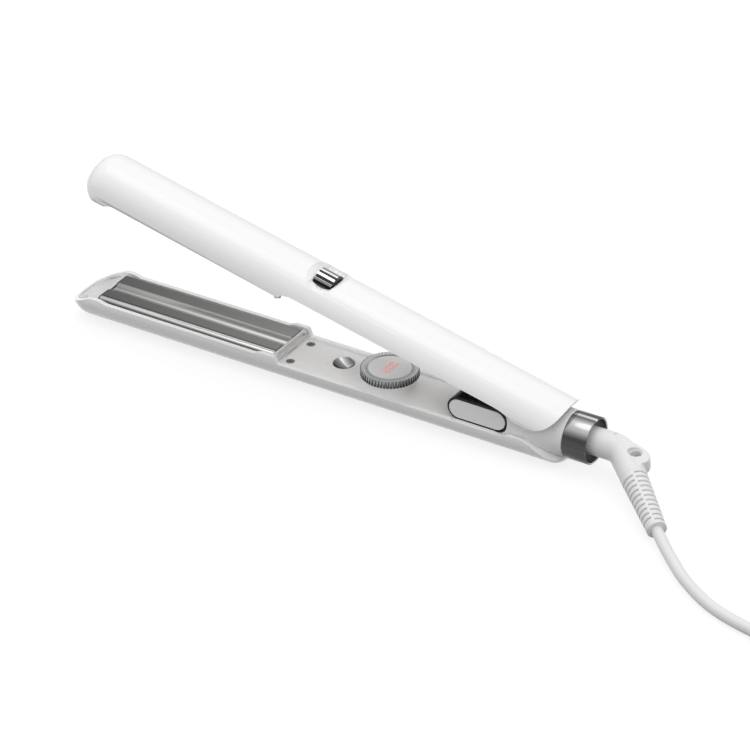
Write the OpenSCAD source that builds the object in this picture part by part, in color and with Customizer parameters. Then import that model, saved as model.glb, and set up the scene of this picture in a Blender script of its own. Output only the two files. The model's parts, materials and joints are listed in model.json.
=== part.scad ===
// Hair curler and straightener: two half-tube arms hinged at the cord end, each with a
// sprung heated plate. It lies on its lower arm, open, with the cord laid on the surface.
// X runs along the arms towards the cord, Y across them and Z up.

/* [Plates] */
// Length of each heated plate
plate_len = 100; // [85:1:110]
// Width of each heated plate
plate_w = 25; // [20:0.5:25.4]
// Thickness of a plate
plate_t = 4; // [3.4:0.1:4.2]
// Radius of the long edges of a plate
plate_edge = 2.5; // [1.5:0.1:2.6]
// Width of the groove along the middle of a plate
groove_w = 5; // [2:0.5:6]
// Depth of that groove
groove_d = 1.4; // [0.6:0.1:1.8]
// How far each plate gives when it is pressed
plate_give = 0.6; // [0.3:0.1:0.8]

/* [Arms] */
// Distance from the long edge of a plate to the outside of its arm
plate_side = 3.7; // [3:0.1:5.5]
// Wall of the arm shells
wall = 2.2; // [1.6:0.1:2.6]
// Length of the lower arm's nose in front of its plate
nose_len = 17; // [13:0.5:20]
// Length of the upper arm's nose
nose_up = 11.5; // [10:0.5:16]
// Radius of the rounded nose
nose_r = 10; // [7:0.5:12]
// Length of each arm behind the front of its plate
arm_len = 251; // [240:1:265]
// Depth of the lower shell's rim below the plate face, beside the plate
rim_side_low = 1; // [0.6:0.1:1.8]
// Height of the upper shell's rim above the plate face, beside the plate
rim_side_up = 2.9; // [2.6:0.1:3.6]
// Depth of the lower handle's rim below the plate face
rim_low = 3.3; // [2.8:0.1:3.6]
// Height of the upper handle's rim above the plate face
rim_up = 5.9; // [5:0.1:6.5]
// Radius of the lower shell's rounded tail
tail_r = 6; // [4:0.5:6.5]
// Height of the upper arm's centre line above the plate face
crown = 1.2; // [0.8:0.1:1.6]

/* [Hinge] */
// Distance of the hinge pin from the rear end of the arms
pivot_back = 13; // [12:0.5:16]
// Height of the hinge pin above the plate face
pivot_z = 8; // [7:0.5:9]
// Opening angle of the arms at rest
open_deg = 12.9; // [6:0.1:16]
// Diameter of the hinge pin
pin_d = 4; // [3:0.5:5]
// Length of the pill-shaped hinge stop
pill_len = 31.7; // [24:0.1:32]
// Height of the hinge stop
pill_h = 11.8; // [9:0.1:12]
// Distance of the hinge stop's faces inside the inner wall of the arms
pill_inset = 1.6; // [1.4:0.1:3]
// Width of the lug that carries the hinge pin
lug_w = 13; // [11:0.5:13]
// Thickness of each hinge ear
ear_t = 2.6; // [2:0.1:2.6]

/* [Controls] */
// Distance of the power button behind the plate's holder
button_back = 28.3; // [24:0.5:31]
// Diameter of the power button
button_d = 10; // [7:0.5:12]
// Travel of the power button
button_stroke = 0.8; // [0.4:0.1:1.2]
// Distance of the temperature dial behind the power button
dial_back = 25.1; // [22:0.5:28]
// Diameter of the knurled dial
dial_d = 27.8; // [24:0.2:29]
// Diameter of the display in the dial
display_d = 21.6; // [18:0.2:21.6]
// Height of the dial's knurled edge
dial_h = 3.3; // [2.4:0.1:3.3]
// Number of knurls round the dial
knurls = 54; // [30:2:60]
// Distance of the thumbwheel behind the plate's holder
wheel_back = 15.6; // [12:0.2:19]
// Diameter of the thumbwheel
wheel_d = 13; // [10:0.5:13]
// Length of the thumbwheel
wheel_len = 9.5; // [7:0.5:11]
// Number of flutes round the thumbwheel
flutes = 14; // [8:1:18]

/* [Swivel] */
// Outer diameter of the chrome end ring
collar_d = 22.6; // [21:0.2:24]
// Length of the chrome end ring
collar_len = 12; // [10:0.5:14]
// Diameter of the round neck in front of it
neck_d = 21.6; // [20:0.2:22]
// Height of the neck's axis against the plate face
neck_z = -1; // [-2:0.1:0]
// Diameter of the swivel shaft
swivel_d = 12; // [10:0.5:13]
// Diameter of the cord boot
boot_d = 13.4; // [12.6:0.2:14]
// Radius of the boot's bend
bend_r = 12; // [9:0.5:14]
// Angle of the boot's bend
bend_deg = 45; // [35:1:50]
// Length of the ribbed sleeve
sleeve_len = 34; // [28:1:36]
// Number of grooves in the sleeve
sleeve_ribs = 10; // [7:1:12]

/* [Cord] */
// Diameter of the cord
cord_d = 5.4; // [4.8:0.1:5.5]

/* [Hidden] */
$fn = 64;
fit = 0.06;
gap = 0.3;
R = plate_w/2 + plate_side;
ri = R - wall;
face = 0.05;
foot = 0.5;
floor_z = -R + foot;
mid_x = 122;
plate_end = plate_len + 3;
tail_end = arm_len + 2;
collar_x = tail_end + 0.2;
pivot_x = arm_len - pivot_back;
button_x = plate_end + button_back;
dial_x = button_x + dial_back;
wheel_x = plate_end + wheel_back;
collar_end = collar_x + collar_len;
pill_x = pivot_x - 11.75 - pill_len/2;
pill_w = 2*(ri - pill_inset);
neck_x = pill_x + (pill_len - pill_h)/2;
ear_y = lug_w/2 + gap;
pill_z = -4 + pill_h/2;
deck_z = -rim_low - 0.7;
deck_t = 2;
screw_x = plate_end + 4.4;
screw_y = ri - 5;
board_z = -8.6;
board_t = 1.6;
board_w = 2*sqrt(ri*ri - board_z*board_z) - 1.8;
board_front = 20;
board_rear = 34;
hub_d = display_d - 2.6;
dial_top = 3.5;
wheel_z = R + crown - wheel_d/2 + 0.2;
scoop_r = 11;
scoop_z = R + crown - 4.7 + scoop_r;
heater_t = 1.6;
heater_w = plate_w - 13.4;
cushion_d = plate_w/2 - plate_edge - heater_w/2 + 0.6;
pocket_z = -(plate_t + 3.2);
ring_t = 1;
bend_roll = 14;
bend_x = collar_end + 7.8;
bend_out = 15;
sleeve_w = 4.6;
slot_w = 1.5;
fin_t = 4.6;
hole_r = 2.6;
// Outline of the hanging fin, as lengths along the boot's bend and out from its centre line
fin_line = [[0.5, 1], [3, 3.8], [7.8, 7], [10.6, 9.2], [13, 10.2], [15.5, 10.3], [17.5, 9.7], [19.2, 8.5], [20.3, 6.7], [21, 3.5]];
fin_root = 5.2;
hole_s = 12.4;
hole_out = 4.4;
// Cord route in the row frame after the sleeve, laid on the surface
cord_route = [[207, -49.5, 3.7], [222, -62.5, 2.9], [241, -74, 2.8], [264, -80.5, 2.8], [290, -83, 3]];
coil_c = [352, -41.8, 0.8];
coil_in = 20;
coil_out = 41.4;
coil_turns = 3.5;
layer = 6.2;
dip = 0.6;
lie = 2.8;
plug_at = [290, 2, 7];

// Places a piece given in plate coordinates
module set() translate([-mid_x, 0, -floor_z]) children();
// Places a piece of the upper arm, given as it lies when closed
module open_arm() set() translate([pivot_x, 0, pivot_z]) rotate([0, open_deg, 0])
    translate([-pivot_x, 0, -pivot_z]) children();
// A bar along X with a cross-section given in Y and Z
module bar(x0, x1) translate([x0, 0, 0]) rotate([90, 0, 90]) linear_extrude(x1 - x0) children();
// A slab across the arm with a side view given in X and Z
module side(w = 60) translate([0, w/2, 0]) rotate([90, 0, 0]) linear_extrude(w) children();
module rod(x0, x1, r) translate([x0, 0, 0]) rotate([0, 90, 0]) cylinder(h = x1 - x0, r = r);
module cross_rod(x, z, r, w) translate([x, w/2, z]) rotate([90, 0, 0]) cylinder(h = w, r = r);

// Round tube body with a rounded nose, turned about X
module barrel(r, front, nr, back, br) rotate([0, 90, 0]) rotate_extrude($fn = 96) {
    translate([0, front]) square([r - nr, back - front]);
    translate([0, front + nr]) square([r, back - front - nr - br]);
    translate([0, front + nr]) square([r - br, back - front - nr]);
    intersection() {
        translate([r - nr, front + nr]) circle(nr);
        square([4*r, 4*arm_len], center = true);
        translate([0, -2*arm_len]) square([r, 4*arm_len]);
    }
    translate([r - br, back - br]) circle(br);
}
module tube_half(nose, end, round) difference() {
    barrel(R, -nose, nose_r, end, round);
    barrel(ri, -nose + wall, nose_r - wall, end + 9, 1);
}
function ease(t) = t*t*(3 - 2*t);
// A rim line that eases from one height to the next between two places along the arm
function step(x0, z0, x1, z1, n = 6) = [for (i = [0:n]) [x0 + (x1 - x0)*i/n, z0 + (z1 - z0)*ease(i/n)]];
nose_tip = -7;
nose_slope = (-0.6 - nose_tip)/(nose_len - 3);
nose_high = 7.5;
// Side view of the lower shell: everything under its rim
module lower_side() polygon(concat(
    [[-nose_len - 5, nose_tip - 5*nose_slope], [-3, -0.6]], step(-2, -0.2, 0.5, 0.1, 3),
    step(2, 0.1, 8, -rim_side_low), step(plate_len - 9, -rim_side_low, plate_len - 4, 0.4),
    step(plate_end - 0.8, 0.4, plate_end + 1.6, -rim_low),
    step(pivot_x - 14, -rim_low, pivot_x - 9, -1.8, 4),
    step(pivot_x - 4, -1.8, tail_end - 1.5, -10.6, 14),
    [[tail_end + 9, -10.6], [tail_end + 9, -3*R], [-nose_len - 5, -3*R]]));
// Side view of the upper shell, closed: everything above its rim
module upper_side() {
    polygon(concat([[-nose_up - 5, nose_high + 5*(nose_high - 0.8)/(nose_up - 3)], [-3, 0.8], [2, 0.8]], step(3, 0.8, 9, rim_side_up),
        step(plate_end, rim_side_up, plate_end + 1.8, rim_up - 0.8, 4), step(plate_end + 2.4, rim_up - 0.8, plate_end + 6, rim_up, 3),
        [[pivot_x - 18, rim_up + 0.6]], step(pivot_x - 16, rim_up + 0.5, pivot_x - 4, 4.5),
        [[pivot_x - 4, 3*R], [-nose_up - 5, 3*R]]));
    intersection() {
        translate([pivot_x - 1.8, 19]) union() { circle(14.5); square([14.5, R]); }
        translate([pivot_x - 5, 0]) square([60, 3*R]);
    }
}

module lower_shell() color("white") set() difference() {
    union() {
        intersection() {
            union() {
                tube_half(nose_len, tail_end, tail_r);
                intersection() {
                    barrel(R, -nose_len, nose_r, tail_end, tail_r);
                    rod(pivot_x - 2, tail_end, R);
                }
            }
            side() lower_side();
        }
        for (x = [button_x - 15, dial_x + board_rear - 4]) intersection() {
            translate([x, 0, -R + 1]) cylinder(h = board_z + R - 1, r = 2.5);
            rod(x - 5, x + 5, R - 0.5);
        }
    }
    translate([-50, -R, floor_z - R]) cube([arm_len + 100, 2*R, R]);
    neck_body(face);
}

// Cross-section of a heated plate: two flat lands and a rounded groove
module plate_section() difference() {
    union() {
        translate([-plate_w/2 + plate_edge, -plate_t]) square([plate_w - 2*plate_edge, plate_t - face]);
        intersection() {
            for (s = [-1, 1]) translate([s*(plate_w/2 - plate_edge), -plate_edge - face]) circle(plate_edge);
            translate([-plate_w, -plate_edge - 0.4]) square([2*plate_w, 2*plate_edge]);
        }
    }
    translate([0, groove_w*groove_w/8/groove_d - groove_d/2 - face])
        circle(groove_w*groove_w/8/groove_d + groove_d/2);
    translate([-heater_w/2 - 0.2, -plate_t - 1]) square([heater_w + 0.4, 1 + heater_t/2 + 0.2]);
}
module heated_plate() color("dimgray") bar(0, plate_len) plate_section();
module heater_strip() color("ivory") {
    translate([8, -heater_w/2, -plate_t - heater_t/2 + 0.2]) cube([plate_len - 16, heater_w, heater_t]);
    for (y = [-heater_w/4, heater_w/4]) translate([plate_len - 8, y, -plate_t + 0.2]) rotate([0, 90, 0])
        cylinder(h = 7, r = 0.5);
}
// Plate holder: a tray inside the shell, with a sloped nose and a stepped wall behind the plate
holder_top = -(rim_side_low + 1.3);
shelf_z = -plate_edge - 0.4 - plate_give - gap;
module holder(nose, tip, lift = 0) color("gainsboro") difference() {
    intersection() {
        translate([0, 0, -lift]) barrel(ri - 0.05, -nose + wall + 0.05, nose_r - wall, plate_end, 0.1);
        union() {
            side() polygon([[-nose, pocket_z - 2], [-nose, tip - 0.7], [-gap, -1.4], [-gap, pocket_z - 2]]);
            translate([-2.6, -R, pocket_z - 2]) cube([plate_end + 2.6, 2*R, holder_top - pocket_z + 2]);
            translate([plate_len + gap, -R, holder_top - 1]) cube([1.4, 2*R, 0.7 - holder_top]);
            translate([plate_len + gap + 1, -R, holder_top - 1]) cube([plate_end - plate_len - gap - 1, 2*R, -0.8 - holder_top]);
            for (y = [-ri + 1.7, ri - 1.7]) translate([plate_end - 1.3, y, holder_top - 1]) cylinder(h = 0.4 - holder_top, r = 1.2);
        }
    }
    translate([-gap, -plate_w/2 - gap, shelf_z]) cube([plate_len + 2*gap, plate_w + 2*gap, 20]);
    translate([-gap, -plate_w/2 + plate_edge - 1.2, pocket_z]) cube([plate_len + 2*gap, plate_w - 2*plate_edge + 2.4, 20]);
    translate([plate_len - 3, -4.5, pocket_z]) cube([8, 9, 3.4]);
}
cushion_h = -plate_t - pocket_z - plate_give - 0.05;
module cushions() color("lightgray") for (x = [12, plate_len - 14], y = [-1, 1])
    translate([x, y*(heater_w/2 + 0.2 + cushion_d/2), pocket_z + plate_give + 0.05]) difference() {
        cylinder(h = cushion_h, d = cushion_d);
        translate([0, 0, -1]) cylinder(h = cushion_h + 3, d = 2.2);
    }

module lower_plate() set() heated_plate();
module lower_heater() set() heater_strip();
module lower_holder() set() holder(nose_len, nose_tip);
module lower_cushions() set() cushions();
module upper_plate() open_arm() mirror([0, 0, 1]) heated_plate();
module upper_heater() open_arm() mirror([0, 0, 1]) heater_strip();
module upper_holder() open_arm() mirror([0, 0, 1]) holder(nose_up, -nose_high, crown);
module upper_cushions() open_arm() mirror([0, 0, 1]) cushions();

// Handle deck: a shallow tray with a raised edge, between the holder and the neck
module lower_deck() color("whitesmoke") set() difference() {
    union() {
        intersection() {
            rod(plate_end, neck_x - 0.1, ri - 0.05);
            bar(plate_end, neck_x - 0.1) polygon([[-R, deck_z - deck_t], [R, deck_z - deck_t], [R, deck_z + 0.6],
                [ri - 1, deck_z + 0.6], [ri - 1.8, deck_z], [-ri + 1.8, deck_z], [-ri + 1, deck_z + 0.6],
                [-R, deck_z + 0.6]]);
        }
        translate([dial_x, 0, deck_z - 0.5]) cylinder(h = dial_top - dial_h - 0.2 - deck_z + 0.5, d = dial_d - 3);
        for (y = [-screw_y, screw_y]) intersection() {
            translate([screw_x, y, -R]) cylinder(h = R + deck_z - 1, r = 2.6);
            rod(0, arm_len, ri - 0.05);
        }
    }
    pill(0.1, pill_w + 0.8, pill_w/2 + 0.4);
    translate([dial_x, 0, -R]) cylinder(h = 2*R, d = hub_d + 0.2);
    translate([button_x, 0, -R]) cylinder(h = 2*R, d = button_d + 0.5);
    for (y = [-screw_y, screw_y]) {
        translate([screw_x, y, deck_z - 0.9]) cylinder(h = 3, r = 2.2);
        translate([screw_x, y, deck_z - 6]) cylinder(h = 8, r = 0.9);
    }
}
module deck_screws() color("silver") set() for (y = [-screw_y, screw_y]) difference() {
    union() {
        translate([screw_x, y, deck_z - 0.9]) cylinder(h = 0.8, r = 2.1);
        translate([screw_x, y, deck_z - 5.8]) cylinder(h = 5, r = 0.88);
    }
    for (a = [0, 90]) translate([screw_x, y, deck_z]) rotate([0, 0, a + 20]) cube([2.4, 0.6, 0.9], center = true);
}
module main_board() color("darkgreen") set() {
    translate([button_x - board_front, -board_w/2, board_z]) cube([board_front + dial_back + board_rear, board_w, board_t]);
    for (x = [button_x - 10, dial_x + 12, dial_x + 20]) translate([x, -4, board_z - 2]) cube([5, 8, 2]);
}
module button_switch() color("black") set() {
    translate([button_x - 3, -3, board_z + board_t]) cube([6, 6, 1.2]);
    translate([button_x, 0, board_z + board_t + 1.2]) cylinder(h = 0.4, d = 3);
}
module power_button() color("silver") set() difference() {
    union() {
        translate([button_x, 0, deck_z + 0.2]) cylinder(h = 2.2, d = button_d);
        translate([button_x, 0, board_z + board_t + 1.7 + button_stroke]) cylinder(h = 2, d = button_d - 3);
    }
    translate([button_x, 0, deck_z + 2.4 + 19.5]) sphere(r = 20, $fn = 96);
}
module dial_hub() color("white") set() translate([dial_x, 0, board_z + board_t])
    cylinder(h = dial_top - 1.4 - board_z - board_t, d = hub_d);
module display_disc() color("lightgray") set() translate([dial_x, 0, dial_top - 1.4])
    cylinder(h = 1.3, d = display_d);
// Three seven-segment figures showing a plain number, upright towards the tip
module segment(p, len, along) translate(p)
    cube(along ? [0.5, len, 0.12] : [len, 0.5, 0.12]);
module figure(y, on) for (k = on) {
    if (k == 0) segment([-2.6, y - 1.1, 0], 2.2, true);
    if (k == 1) segment([-2.1, y + 1.1, 0], 1.7, false);
    if (k == 2) segment([0.4, y + 1.1, 0], 1.7, false);
    if (k == 3) segment([2.1, y - 1.1, 0], 2.2, true);
    if (k == 4) segment([0.4, y - 1.6, 0], 1.7, false);
    if (k == 5) segment([-2.1, y - 1.6, 0], 1.7, false);
    if (k == 6) segment([-0.25, y - 1.1, 0], 2.2, true);
}
module display_digits() color("red") set() translate([dial_x, 0, dial_top - 0.1]) {
    figure(-4.4, [0, 1, 6, 4, 3]);
    figure(0, [0, 1, 2, 3, 4, 5]);
    figure(4.4, [0, 1, 2, 3, 4, 5]);
}
module dial_ring() color("gray") set() translate([dial_x, 0, dial_top - dial_h]) difference() {
    linear_extrude(dial_h) difference() {
        circle(d = dial_d, $fn = 96);
        for (i = [0:knurls - 1]) rotate(i*360/knurls) translate([dial_d/2 + 0.15, 0]) circle(0.55, $fn = 16);
    }
    translate([0, 0, -1]) cylinder(h = 9, r = hub_d/2 + fit);
    translate([0, 0, dial_h - 1.6]) cylinder(h = 9, r = display_d/2 + 0.2);
}
module pill(grow, w, y0) translate([0, y0, 0]) rotate([90, 0, 0]) linear_extrude(w) {
    translate([pill_x - pill_len/2 + pill_h/2, pill_z - pill_h/2 - grow]) square([pill_len - pill_h, pill_h + 2*grow]);
    for (s = [-1, 1]) translate([pill_x + s*(pill_len - pill_h)/2, pill_z]) circle(pill_h/2 + grow);
}
module hinge_stop() color("black") set() pill(0, pill_w, pill_w/2);
module stop_caps() color("gainsboro") set() for (s = [-1, 1])
    pill(-0.8, 0.5, s*(pill_w/2 + 0.25) + 0.25);

// Neck in the tail of the arms: it fills the lower shell, narrows to the ring, and carries
// the hinge pin in a lug between two slots for the hinge ears
neck_r = ri - gap;
module neck_body(grow = 0) intersection() {
    rod(neck_x, collar_x + grow, neck_r + grow);
    translate([0, 0, neck_z]) rotate([0, 90, 0]) rotate_extrude() polygon(concat([[0, neck_x]],
        [[2*R, neck_x], [2*R, pivot_x - 2]], [for (i = [0:10]) [collar_d/2 + grow + 3.6 - 3.6*sin(9*i), pivot_x - 2 + (collar_x - 1.6 - pivot_x)*i/10]],
        [[collar_d/2 + grow, collar_x - 0.4], [collar_d/2 - 0.4 + grow, collar_x + grow], [0, collar_x + grow]]));
}
module neck() color("lightgray") set() difference() {
    neck_body();
    pill(gap, 2*R, R);
    for (s = [-1, 1]) translate([pivot_x - 11, s > 0 ? lug_w/2 : -lug_w/2 - ear_t - 2*gap, 0])
        cube([17, ear_t + 2*gap, 2*R]);
    translate([pivot_x - 11, -R, pivot_z + 4]) cube([11 + 4, 2*R, R]);
    difference() {
        translate([pivot_x - 4.6, -lug_w/4, pivot_z - 4.6]) cube([12, lug_w/2, R]);
        rod(pivot_x + 4.6, arm_len, 0.1);
    }
    translate([0, 0, neck_z - 5.5]) rod(neck_x - 10, arm_len - 8, 3);
    translate([0, 0, neck_z]) rod(arm_len - 4, collar_x + 1, swivel_d/2 + 2);
    translate([0, 0, neck_z]) rod(arm_len - 9, arm_len, 2.5);
    cross_rod(pivot_x, pivot_z, pin_d/2, 4*R);
}
pin_half = min(ear_y + ear_t, sqrt(neck_r*neck_r - pow(pivot_z + pin_d/2, 2)));
module hinge_pin() color("silver") set() cross_rod(pivot_x, pivot_z, pin_d/2, 2*pin_half);
module end_ring() color("silver") set() translate([0, 0, neck_z]) difference() {
    rod(collar_x, collar_end, collar_d/2);
    rod(collar_x - 1, collar_end + 1, collar_d/2 - ring_t);
}
module swivel_bush() color("black") set() translate([0, 0, neck_z]) difference() {
    rod(collar_x, collar_end - 3.5, collar_d/2 - ring_t);
    rod(collar_x - 1, collar_end, swivel_d/2 + fit);
}
module contact_pin() color("gold") set() translate([0, 0, neck_z]) {
    rod(arm_len - 8, arm_len - 4, 2.5);
    rod(arm_len - 4.5, arm_len + 2, 1.2);
}

module upper_shell() color("white") open_arm() difference() {
    intersection() {
        union() {
            translate([0, 0, crown]) tube_half(nose_up, tail_end, 0.8);
            intersection() {
                translate([0, 0, crown]) barrel(R, -nose_up, nose_r, tail_end, 0.8);
                translate([wheel_x - scoop_r, -R, R + crown - 7.4]) cube([2*scoop_r, 2*R, R]);
            }
        }
        side() upper_side();
    }
    cross_rod(wheel_x, scoop_z, scoop_r, 3*R);
    translate([0, 0, wheel_z]) rod(wheel_x - wheel_len/2 - gap, wheel_x + wheel_len/2 + gap, wheel_d/2 + gap);
    translate([wheel_x - wheel_len/2 - gap, -wheel_d/2 - gap, 0]) cube([wheel_len + 2*gap, wheel_d + 2*gap, wheel_z]);
    translate([0, 0, wheel_z]) rod(wheel_x - wheel_len/2 - 2.5, wheel_x + wheel_len/2 + 2.5, 1);
    rod(pill_x - pill_len/2 - 1, pill_x + pill_len/2 + 1, ri + 1.2);
}
// Cover plate closing the upper handle, with a pocket for the thumbwheel
module upper_cover() color("whitesmoke") open_arm() difference() {
    union() {
        intersection() {
            translate([0, 0, crown]) rod(plate_end + 0.1, pill_x - pill_len/2 - 2, ri - 0.05);
            translate([0, -R, rim_up - 0.7]) cube([arm_len, 2*R, 1.4]);
        }
        translate([wheel_x - 8, -wheel_d/2 - 2, rim_up - 4.3]) cube([16, wheel_d + 4, 4]);
    }
    translate([wheel_x - wheel_len/2 - gap, -wheel_d/2 - gap, rim_up - 3.2]) cube([wheel_len + 2*gap, wheel_d + 2*gap, 9]);
}
module hinge_ears() color("gainsboro") open_arm() intersection() {
    translate([0, 0, crown]) rod(neck_x, arm_len, ri - 0.05);
    difference() {
        for (s = [-1, 1]) translate([0, s*(ear_y + ear_t/2), 0]) {
            cross_rod(pivot_x, pivot_z, 4, ear_t);
            translate([pivot_x - 9.5, -ear_t/2, pivot_z - 1.8]) cube([9.5, ear_t, R]);
        }
        cross_rod(pivot_x, pivot_z, pin_d/2 + fit, 4*R);
    }
}
module wheel_axle() color("silver") open_arm() translate([0, 0, wheel_z])
    rod(wheel_x - wheel_len/2 - 2.4, wheel_x + wheel_len/2 + 2.4, 0.95);
module thumbwheel() color("dimgray") open_arm() translate([wheel_x - wheel_len/2, 0, wheel_z])
    rotate([90, 0, 90]) linear_extrude(wheel_len) difference() {
        circle(d = wheel_d);
        for (i = [0:flutes - 1]) rotate(i*360/flutes) translate([wheel_d/2 + 0.1, 0]) circle(0.8, $fn = 24);
        circle(0.95 + fit);
    }

// Places a piece of the cord boot: X along the swivel, bending in the rolled XY plane
module boot_frame() set() translate([bend_x, 0, neck_z]) rotate([bend_roll, 0, 0]) children();
bend_len = bend_r*bend_deg*PI/180;
// Place on the bend's plane, from the length along the bend and the distance outside its centre line
function on_bend(s, d) = let (t = min(s/bend_r*180/PI, bend_deg), e = max(s - bend_len, 0))
    [(bend_r + d)*sin(t) + e*cos(bend_deg), (bend_r + d)*cos(t) - bend_r - e*sin(bend_deg)];
module along_bend() boot_frame() translate([bend_r*sin(bend_deg), -bend_r*(1 - cos(bend_deg)), 0])
    rotate([0, 0, -bend_deg]) rotate([0, 90, 0]) children();
// The flat side of the fin: a plane from a straight ridge on the tube to the fin's thin edge
ridge_0 = on_bend(0.2, 2.4);
ridge_1 = on_bend(bend_len + bend_out - 1.6, 2.4);
module fin_side() translate(concat(ridge_0, 0)) rotate([0, 0, atan2(ridge_1[1] - ridge_0[1], ridge_1[0] - ridge_0[0])])
    rotate([90, 0, 90]) linear_extrude(norm(ridge_1 - ridge_0))
        polygon([[0, boot_d], [0, fin_root], [fin_line[5][1], fin_t/2], [2*boot_d, fin_t/2], [2*boot_d, boot_d]]);
module swivel_boot() color("white") difference() {
    union() {
        set() translate([0, 0, neck_z]) {
            rod(collar_x - 0.5, collar_end, swivel_d/2);
            rod(arm_len - 1, collar_x - gap, swivel_d/2 + 1.6);
            rod(collar_end - 3.2, bend_x + 0.4, boot_d/2 - 0.06);
        }
        boot_frame() translate([0, -bend_r, 0]) rotate([0, 0, 90 - bend_deg]) rotate_extrude(angle = bend_deg)
            translate([bend_r, 0]) circle(d = boot_d);
        along_bend() translate([0, 0, -0.4]) cylinder(h = bend_out + 0.4, r1 = boot_d/2 - 0.06, r2 = boot_d/2 - 0.5);
        boot_frame() translate([0, 0, -fin_root]) linear_extrude(2*fin_root)
            polygon(concat([for (p = fin_line) on_bend(p[0], p[1])], [on_bend(21, 0), on_bend(bend_len, 0), on_bend(3, 0), on_bend(0, 0)]));
    }
    boot_frame() for (m = [0, 1]) mirror([0, 0, m]) fin_side();
    boot_frame() translate([on_bend(hole_s, hole_out)[0], on_bend(hole_s, hole_out)[1], 0]) {
        translate([0, 0, -R]) cylinder(h = 2*R, r = hole_r);
        for (m = [0, 1]) mirror([0, 0, m]) translate([0, 0, fin_t/2]) cylinder(h = R, r = hole_r + 0.7);
    }
    set() translate([0, 0, neck_z]) rod(arm_len - 2, arm_len + 4, 1.4);
}
// Ribbed sleeve: rings of slots, each bridged on opposite sides, turned by a quarter from ring to ring
module cord_sleeve() color("white") along_bend() translate([0, 0, bend_out]) difference() {
    cylinder(h = sleeve_len, r1 = boot_d/2 - 0.5, r2 = sleeve_w);
    for (i = [0:sleeve_ribs - 1]) translate([0, 0, 1.6 + i*(sleeve_len - 3)/sleeve_ribs]) difference() {
        cylinder(h = slot_w, r = boot_d);
        translate([0, 0, -1]) cylinder(h = 4, r = cord_d/2 + 0.6 + (1 - i/sleeve_ribs));
        rotate((i % 2)*90 + 30) translate([-boot_d, -1, -1]) cube([2*boot_d, 2, 4]);
    }
}

// Tube swept along points: rings of n corners, turned with the path
function unit(v) = v/norm(v);
function tangent(p, i) = unit(p[min(i + 1, len(p) - 1)] - p[max(i - 1, 0)]);
function ring(c, t, r, n) = let (u = unit(cross([0, 0, 1], t)), w = cross(t, u))
    [for (k = [0:n - 1]) c + r*(cos((k + 0.5)*360/n)*u + sin((k + 0.5)*360/n)*w)];
module sweep(p, r, n) {
    m = len(p);
    polyhedron([for (i = [0:m - 1]) each ring(p[i], tangent(p, i), r, n)],
        concat([[for (k = [0:n - 1]) n - 1 - k]],
            [for (i = [0:m - 2], k = [0:n - 1]) let (a = i*n + k, b = i*n + (k + 1)%n) each [[a, b, b + n], [a, b + n, a + n]]],
            [[for (k = [0:n - 1]) (m - 1)*n + k]]));
}
function spline(p, i, t) = let (a = p[max(i - 1, 0)], b = p[i], c = p[i + 1], d = p[min(i + 2, len(p) - 1)])
    0.5*((2*b) + (c - a)*t + (2*a - 5*b + 4*c - d)*t*t + (3*b - a - 3*c + d)*t*t*t);
function smooth(p, n) = [for (i = [0:len(p) - 2], k = [0:n - 1]) spline(p, i, k/n), p[len(p) - 1]];
bend_dir = [cos(bend_deg), -sin(bend_deg)*cos(bend_roll), -sin(bend_deg)*sin(bend_roll)];
bend_side = [0, -cos(bend_roll), -sin(bend_roll)];
sleeve_end = [bend_x - mid_x, 0, neck_z - floor_z] + bend_r*sin(bend_deg)*[1, 0, 0]
    + bend_r*(1 - cos(bend_deg))*bend_side + (bend_out + sleeve_len)*bend_dir;

// The coil: spirals in on the surface, climbs while it turns round, and spirals out on top
function coil_at(s) = let (n = 2*coil_turns + 0.5, a = -90 + s*360,
    r = s < coil_turns ? coil_out - (coil_out - coil_in)*s/coil_turns
        : s < coil_turns + 0.5 ? coil_in - dip*sin(360*(s - coil_turns)) : coil_in + (coil_out - coil_in)*(s - coil_turns - 0.5)/coil_turns,
    z = lie + layer*ease(min(max((s - coil_turns)/0.5, 0), 1)))
    coil_c + [r*cos(a), r*sin(a), z];
coil_steps = 24;
coil_n = (2*coil_turns + 0.5)*coil_steps;
coil_points = concat([coil_at(0) - [cord_d, 0, 0]], [for (i = [0:coil_n]) coil_at(i/coil_steps)],
    [coil_at(coil_n/coil_steps) + cord_d*unit(coil_at(coil_n/coil_steps) - coil_at(coil_n/coil_steps - 0.01))]);
run_points = concat([sleeve_end, sleeve_end + 5*bend_dir], cord_route, [coil_points[0]]);
module cord_run() color("white") sweep(smooth(run_points, 9), cord_d/2, 8);
module cord_coil() color("white") sweep(coil_points, cord_d/2, 6);
coil_end = coil_points[len(coil_points) - 1];
tail_dir = unit(coil_end - coil_points[len(coil_points) - 2]);
tail_points = [coil_end, coil_end + 12*tail_dir + [0, 0, -0.6], plug_at + [34, 0, 0], plug_at + [26, 0, 0]];
module cord_tail() color("white") sweep(smooth(tail_points, 8), cord_d/2, 8);
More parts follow.
